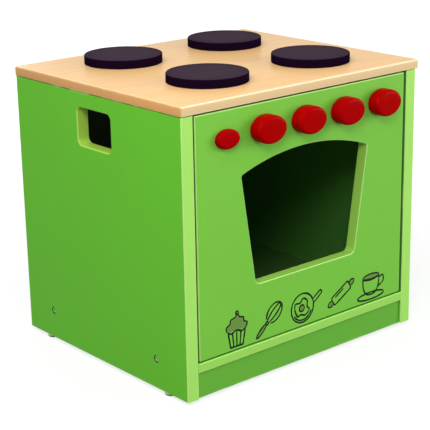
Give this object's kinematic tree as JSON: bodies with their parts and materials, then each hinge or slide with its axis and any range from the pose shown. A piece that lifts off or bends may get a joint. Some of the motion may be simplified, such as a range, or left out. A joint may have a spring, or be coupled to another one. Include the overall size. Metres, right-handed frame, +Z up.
{
  "type": "toy oven",
  "caption": "Wooden play cooker with a hinged, arched-window oven door, turning oval knobs, round hotplates on a pale worktop and hand holes in its sides.",
  "frame": {"origin": "on the floor, under the middle of the whole object's box, knobs and worktop overhangs included", "axes": "+X to the right seen from the front, +Y towards the back, +Z up; the door faces -Y"},
  "size_m": [0.406, 0.3658, 0.3845],
  "materials": {
    "green": "satin green lacquer on board, worn lighter at the edges",
    "worktop": "pale peach lacquered wood, satin, softly rounded edges",
    "hotplate": "aubergine-black stained wood, satin",
    "red": "glossy red lacquer",
    "steel": "zinc-plated steel",
    "nylon": "off-white nylon",
    "magnet": "dark sintered ferrite",
    "beech": "plain beech"
  },
  "bodies": {
    "carcass": {"left_side_panel": "green", "right_side_panel": "green", "bottom_shelf": "green", "plinth": "green", "front_top_rail": "green", "back_top_rail": "green", "back_panel": "green", "worktop": "worktop", "hob_disc_front_left": "hotplate", "hob_disc_front_right": "hotplate", "hob_disc_back_left": "hotplate", "hob_disc_back_right": "hotplate", "shelf_screws": "steel", "worktop_screws": "steel", "hob_disc_screws": "steel", "back_panel_screws": "steel", "catch_screws": "steel", "door_pins": "steel", "catch_poles": "steel", "glides": "nylon", "catch_body": "nylon", "catch_magnet": "magnet", "worktop_dowels": "beech", "rail_dowels": "beech", "plinth_dowels": "beech"},
    "door": {"oven_door": "green", "door_bushes": "nylon", "door_pull": "red", "pull_screw": "steel", "knob_spacers": "nylon", "knob_washers": "steel", "strike_plate": "steel", "strike_screw": "steel"},
    "knob_left_turning": {"knob_left": "red", "knob_left_screw": "steel"},
    "knob_centre_left_turning": {"knob_centre_left": "red", "knob_centre_left_screw": "steel"},
    "knob_centre_right_turning": {"knob_centre_right": "red", "knob_centre_right_screw": "steel"},
    "knob_right_turning": {"knob_right": "red", "knob_right_screw": "steel"}
  },
  "joints": [
    {"name": "door_hinge", "type": "hinge", "parent": "carcass", "child": "door", "pos_m": [0.167, -0.1561, 0.0525], "axis": [0, 0, 1], "range_deg": [0, 95]},
    {"name": "knob_left_turn", "type": "hinge", "parent": "door", "child": "knob_left_turning", "pos_m": [-0.0745, -0.1641, 0.327], "axis": [0, 1, 0], "continuous": true},
    {"name": "knob_centre_left_turn", "type": "hinge", "parent": "door", "child": "knob_centre_left_turning", "pos_m": [-0.0065, -0.1641, 0.327], "axis": [0, 1, 0], "continuous": true},
    {"name": "knob_centre_right_turn", "type": "hinge", "parent": "door", "child": "knob_centre_right_turning", "pos_m": [0.0615, -0.1641, 0.327], "axis": [0, 1, 0], "continuous": true},
    {"name": "knob_right_turn", "type": "hinge", "parent": "door", "child": "knob_right_turning", "pos_m": [0.1295, -0.1641, 0.327], "axis": [0, 1, 0], "continuous": true}
  ]
}
